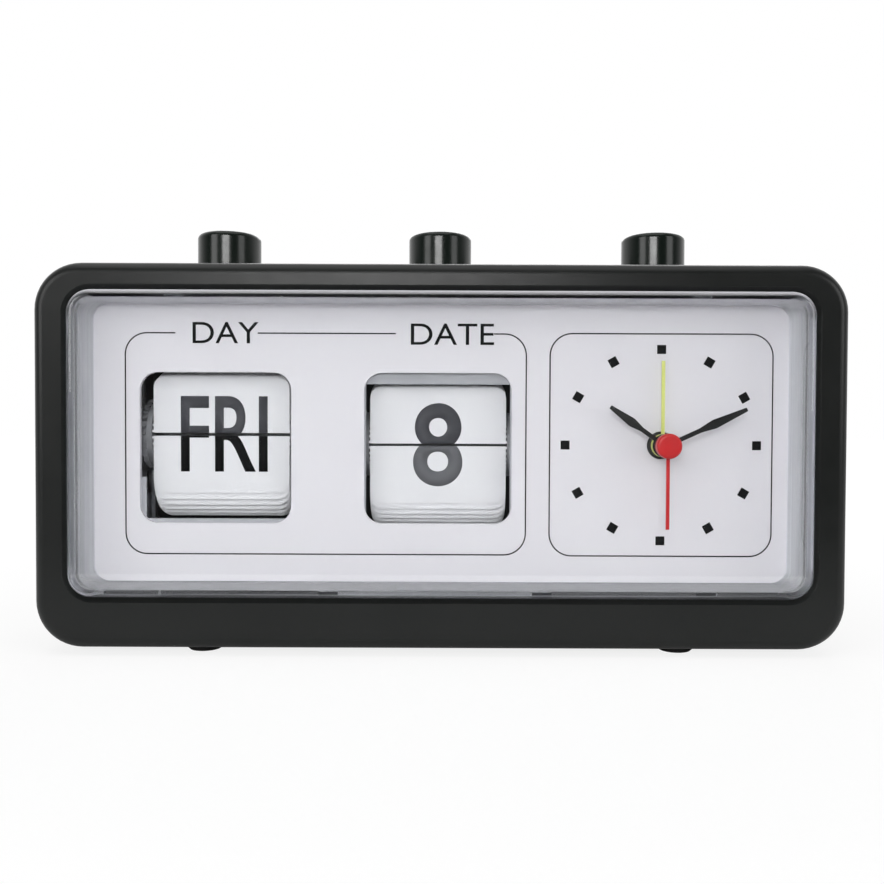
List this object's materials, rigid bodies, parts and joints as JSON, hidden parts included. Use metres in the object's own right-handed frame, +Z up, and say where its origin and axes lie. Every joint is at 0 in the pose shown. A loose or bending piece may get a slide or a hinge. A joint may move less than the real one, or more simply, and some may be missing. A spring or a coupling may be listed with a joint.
{
  "type": "calendar clock",
  "caption": "Desk calendar clock: black case with clear lens, flip day and date windows turned by push buttons on top, and a quartz alarm dial with four hands.",
  "frame": {"origin": "middle of the footprint at table height", "axes": "+X to the viewer's right along the width, +Y from the dial to the rear, +Z up"},
  "size_m": [0.215, 0.0624, 0.117],
  "materials": {
    "case_black": "satin moulded plastic",
    "lens_clear": "clear polished plastic",
    "dial_white": "white printed plate",
    "leaf_white": "white printed sheet",
    "rubber_black": "black rubber",
    "steel": "bright zinc plated",
    "brass": "turned brass",
    "dark_plastic": "black moulded plastic",
    "button_dark": "polished dark plastic",
    "gear_plastic": "natural moulded plastic",
    "hand_black": "black lacquer",
    "hand_red": "red lacquer",
    "hand_yellow": "pale yellow-green lacquer",
    "cell_wrap": "plain wrapped steel can",
    "copper": "wound enamelled wire",
    "board_green": "coated laminate",
    "lead_red": "insulated wire"
  },
  "bodies": {
    "case": {"front_housing": "case_black", "rear_cover": "case_black", "lens": "lens_clear", "dial_plate": "dial_white", "rubber_feet": "rubber_black", "case_screws": "steel", "dial_screws": "steel", "frame_screws": "steel", "battery_cell": "cell_wrap", "battery_contacts": "steel", "battery_leads": "lead_red", "buzzer": "dark_plastic", "day_frame": "steel", "day_axle": "steel", "day_click": "steel", "day_spring": "steel", "date_frame": "steel", "date_axle": "steel", "date_click": "steel", "date_spring": "steel", "alarm_spring": "steel", "alarm_switch": "dark_plastic", "movement_case": "dark_plastic", "movement_cover": "dark_plastic", "movement_screws": "steel", "circuit_board": "board_green", "quartz_crystal": "steel", "drive_coil": "copper", "stator": "steel"},
    "battery_door": {"battery_door": "case_black"},
    "alarm_button": {"alarm_button": "button_dark"},
    "minute_group": {"cannon_pinion": "brass", "minute_hand": "hand_black"},
    "hour_group": {"hour_wheel": "gear_plastic", "hour_hand": "hand_black"},
    "time_set_group": {"minute_wheel": "gear_plastic", "time_set_knob": "dark_plastic"},
    "alarm_group": {"alarm_wheel": "gear_plastic", "alarm_hand": "hand_yellow"},
    "alarm_set_group": {"alarm_set_knob": "dark_plastic"},
    "seconds_group": {"seconds_wheel": "gear_plastic", "second_hand": "hand_red"},
    "third_wheel": {"third_wheel": "gear_plastic"},
    "centre_wheel": {"centre_wheel": "brass"},
    "step_wheel": {"step_wheel": "gear_plastic"},
    "rotor": {"rotor": "dark_plastic"},
    "day_button_group": {"day_button": "button_dark", "day_pawl": "dark_plastic"},
    "day_drum_group": {"day_drum": "dark_plastic", "day_leaf_stack": "leaf_white"},
    "day_flip_leaf": {"day_flip_leaf": "leaf_white"},
    "date_button_group": {"date_button": "button_dark", "date_pawl": "dark_plastic"},
    "date_drum_group": {"date_drum": "dark_plastic", "date_leaf_stack": "leaf_white"},
    "date_flip_leaf": {"date_flip_leaf": "leaf_white"}
  },
  "joints": [
    {"name": "day_press", "type": "slide", "parent": "case", "child": "day_button_group", "axis": [0, 0, -1], "range_m": [0, 0.003], "stiffness_N_per_m": 300, "springref_m": -0.004, "deforming": ["day_spring"]},
    {"name": "day_drum_turn", "type": "hinge", "parent": "case", "child": "day_drum_group", "pos_m": [-0.06215, -0.00205, 0.0585], "axis": [1, 0, 0], "range_deg": [0, 12.86]},
    {"name": "day_leaf_fall", "type": "hinge", "parent": "day_drum_group", "child": "day_flip_leaf", "pos_m": [-0.06215, -0.01, 0.0594], "axis": [1, 0, 0], "range_deg": [0, 167.14]},
    {"name": "date_press", "type": "slide", "parent": "case", "child": "date_button_group", "axis": [0, 0, -1], "range_m": [0, 0.003], "stiffness_N_per_m": 300, "springref_m": -0.004, "deforming": ["date_spring"]},
    {"name": "date_drum_turn", "type": "hinge", "parent": "case", "child": "date_drum_group", "pos_m": [-0.00083, -0.00205, 0.05575], "axis": [1, 0, 0], "range_deg": [0, 11.61]},
    {"name": "date_leaf_fall", "type": "hinge", "parent": "date_drum_group", "child": "date_flip_leaf", "pos_m": [-0.00083, -0.01001, 0.05656], "axis": [1, 0, 0], "range_deg": [0, 168.39]},
    {"name": "alarm_press", "type": "slide", "parent": "case", "child": "alarm_button", "axis": [0, 0, -1], "range_m": [0, 0.003], "stiffness_N_per_m": 300, "springref_m": -0.004, "deforming": ["alarm_spring"]},
    {"name": "minute_turn", "type": "hinge", "parent": "case", "child": "minute_group", "pos_m": [0.0611, 0, 0.056], "axis": [0, 1, 0], "continuous": true},
    {"name": "hour_turn", "type": "hinge", "parent": "case", "child": "hour_group", "pos_m": [0.0611, 0, 0.056], "axis": [0, 1, 0], "continuous": true},
    {"name": "time_set_turn", "type": "hinge", "parent": "case", "child": "time_set_group", "pos_m": [0.0611, 0, 0.066], "axis": [0, 1, 0], "continuous": true},
    {"name": "alarm_turn", "type": "hinge", "parent": "case", "child": "alarm_group", "pos_m": [0.0611, 0, 0.056], "axis": [0, 1, 0], "continuous": true},
    {"name": "alarm_set_turn", "type": "hinge", "parent": "case", "child": "alarm_set_group", "pos_m": [0.0731, 0, 0.056], "axis": [0, 1, 0], "continuous": true},
    {"name": "seconds_turn", "type": "hinge", "parent": "case", "child": "seconds_group", "pos_m": [0.0611, 0, 0.056], "axis": [0, 1, 0], "continuous": true},
    {"name": "third_turn", "type": "hinge", "parent": "case", "child": "third_wheel", "pos_m": [0.0511, 0, 0.056], "axis": [0, 1, 0], "continuous": true},
    {"name": "centre_turn", "type": "hinge", "parent": "case", "child": "centre_wheel", "pos_m": [0.0611, 0, 0.056], "axis": [0, 1, 0], "continuous": true},
    {"name": "step_turn", "type": "hinge", "parent": "case", "child": "step_wheel", "pos_m": [0.0611, 0, 0.046], "axis": [0, 1, 0], "continuous": true},
    {"name": "rotor_turn", "type": "hinge", "parent": "case", "child": "rotor", "pos_m": [0.05499, 0, 0.04378], "axis": [0, 1, 0], "continuous": true},
    {"name": "battery_door_swing", "type": "hinge", "parent": "case", "child": "battery_door", "pos_m": [-0.03182, 0.02425, 0.007], "axis": [-1, 0, 0], "range_deg": [0, 80]}
  ],
  "couplings": [
    {"joint": "day_drum_turn", "follows": "day_press", "rad_per_m": 74.8},
    {"joint": "day_leaf_fall", "follows": "day_press", "rad_per_m": 972.4},
    {"joint": "date_drum_turn", "follows": "date_press", "rad_per_m": 67.561},
    {"joint": "date_leaf_fall", "follows": "date_press", "rad_per_m": 979.64},
    {"joint": "hour_turn", "follows": "minute_turn", "ratio": 0.083333},
    {"joint": "time_set_turn", "follows": "minute_turn", "ratio": -0.33333},
    {"joint": "alarm_set_turn", "follows": "alarm_turn", "ratio": -2},
    {"joint": "third_turn", "follows": "seconds_turn", "ratio": -0.13333},
    {"joint": "centre_turn", "follows": "seconds_turn", "ratio": 0.016667},
    {"joint": "step_turn", "follows": "seconds_turn", "ratio": -6},
    {"joint": "rotor_turn", "follows": "seconds_turn", "ratio": 30}
  ]
}
